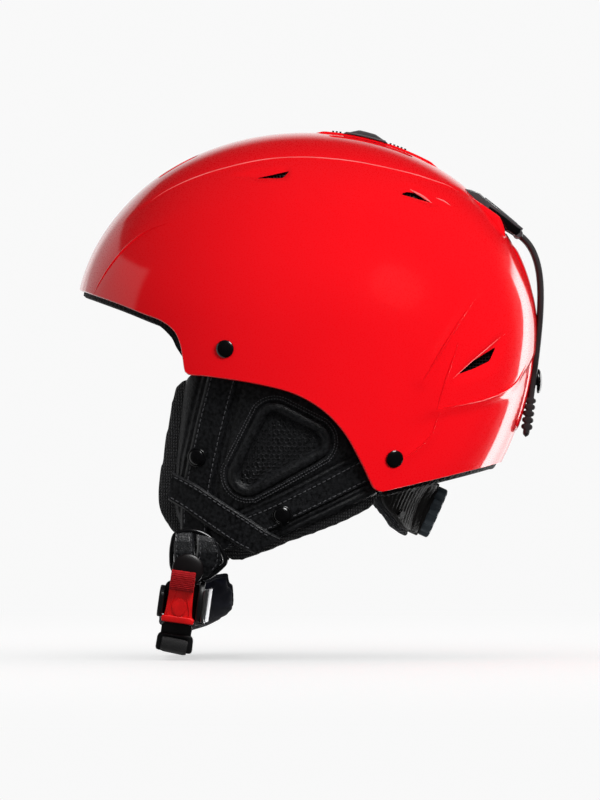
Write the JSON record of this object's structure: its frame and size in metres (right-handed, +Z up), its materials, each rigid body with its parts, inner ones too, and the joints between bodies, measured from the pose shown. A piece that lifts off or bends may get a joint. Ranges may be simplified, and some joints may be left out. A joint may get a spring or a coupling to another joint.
{
  "type": "ski helmet",
  "caption": "Red hard-shell ski helmet with crown vent slider, goggle strap retainer, rear fit dial, padded ear covers and a ratchet chin buckle.",
  "frame": {"origin": "on the symmetry plane, at mid-length of the shell, level with the rear corners of the side rim, in the head opening", "axes": "-Y is the helmet's front, +X is the wearer's left, +Z is up"},
  "size_m": [0.216, 0.2831, 0.3236],
  "materials": {
    "shell_red": "high gloss clear-coated injection moulded shell",
    "eps_foam": "dark expanded foam with a fine bead texture",
    "vent_mesh_black": "black woven mesh",
    "knob_grey": "satin grey moulding",
    "inner_plastic": "satin black moulding",
    "gloss_dark_plastic": "gloss black moulding",
    "steel": "plated steel",
    "strap_rubber": "matt charcoal rubber",
    "pad_fabric": "soft navy knitted fleece",
    "piping_navy": "woven binding",
    "dial_grey": "satin blue-grey moulding",
    "leatherette": "grained black leatherette with stitching",
    "webbing_black": "woven black webbing",
    "lever_red": "satin red moulding",
    "webbing_red": "ribbed red webbing"
  },
  "bodies": {
    "helmet": {"outer_shell": "shell_red", "eps_liner": "eps_foam", "vent_mesh": "vent_mesh_black", "vent_track": "shell_red", "goggle_clip_plate": "gloss_dark_plastic", "strap_hinge_pin": "steel", "snap_stud": "steel", "shell_rivets": "gloss_dark_plastic", "rivet_washers": "steel", "brow_pad": "pad_fabric", "crown_pad": "pad_fabric", "side_pads": "pad_fabric", "ear_panel_left": "leatherette", "ear_panel_right": "leatherette", "ear_fleece_left": "pad_fabric", "ear_fleece_right": "pad_fabric", "ear_vent_rings": "leatherette", "ear_vent_meshes": "vent_mesh_black", "ear_straps_front": "leatherette", "ear_straps_rear": "leatherette", "ear_cross_bands": "leatherette", "ear_snaps": "gloss_dark_plastic"},
    "vent_slider": {"vent_slider_knob": "knob_grey", "vent_shutter": "inner_plastic"},
    "goggle_strap": {"goggle_strap": "strap_rubber", "goggle_snap_cap": "gloss_dark_plastic"},
    "fit_cradle": {"dial_housing": "inner_plastic", "neck_pad": "pad_fabric", "neck_pad_piping": "piping_navy", "housing_screws": "steel"},
    "fit_dial": {"fit_dial": "dial_grey", "dial_pinion": "steel"},
    "fit_band_left": {"fit_band_left": "inner_plastic"},
    "fit_band_right": {"fit_band_right": "inner_plastic"},
    "chin_loop": {"strap_rings": "gloss_dark_plastic", "ring_webbing": "webbing_black", "strap_cap": "gloss_dark_plastic", "buckle_housing": "gloss_dark_plastic", "buckle_cover": "steel", "lever_pin": "steel", "lever_spring": "steel", "chin_webbing": "webbing_black", "chin_pad": "pad_fabric"},
    "buckle_lever": {"buckle_lever": "lever_red", "pull_tab": "webbing_red"},
    "ratchet_rack": {"ratchet_rack": "gloss_dark_plastic"}
  },
  "joints": [
    {"name": "vent_slide", "type": "hinge", "parent": "helmet", "child": "vent_slider", "pos_m": [0, 0.00111, 0.05892], "axis": [1, 0, 0], "range_deg": [-8.4, 3.4]},
    {"name": "strap_swing", "type": "hinge", "parent": "helmet", "child": "goggle_strap", "pos_m": [0, 0.13, 0.1565], "axis": [1, 0, 0], "range_deg": [0, 100]},
    {"name": "cradle_tilt", "type": "hinge", "parent": "helmet", "child": "fit_cradle", "pos_m": [0, -0.0186, 0.0302], "axis": [1, 0, 0], "range_deg": [-5, 2]},
    {"name": "dial_turn", "type": "hinge", "parent": "fit_cradle", "child": "fit_dial", "pos_m": [0, 0.005, 0.0197], "axis": [0, -0.9135, 0.4067], "range_deg": [0, 300]},
    {"name": "band_left_slide", "type": "hinge", "parent": "fit_cradle", "child": "fit_band_left", "pos_m": [0, 0.005, 0.0197], "axis": [0, 0.4067, 0.9135], "range_deg": [0, 12.7]},
    {"name": "band_right_slide", "type": "hinge", "parent": "fit_cradle", "child": "fit_band_right", "pos_m": [0, 0.005, 0.0197], "axis": [0, 0.4067, 0.9135], "range_deg": [-12.7, 0]},
    {"name": "chin_swing", "type": "hinge", "parent": "helmet", "child": "chin_loop", "pos_m": [0, -0.065, -0.036], "axis": [1, 0, 0], "range_deg": [-12, 12]},
    {"name": "lever_lift", "type": "hinge", "parent": "chin_loop", "child": "buckle_lever", "pos_m": [0.07658, -0.07352, -0.07608], "axis": [0, 0.9781, -0.2079], "range_deg": [0, 20]},
    {"name": "rack_slide", "type": "slide", "parent": "chin_loop", "child": "ratchet_rack", "axis": [0.2079, 0.2034, 0.9568], "range_m": [0, 0.01]}
  ],
  "couplings": [
    {"joint": "band_left_slide", "follows": "dial_turn", "ratio": 0.04203},
    {"joint": "band_right_slide", "follows": "dial_turn", "ratio": -0.04203}
  ]
}
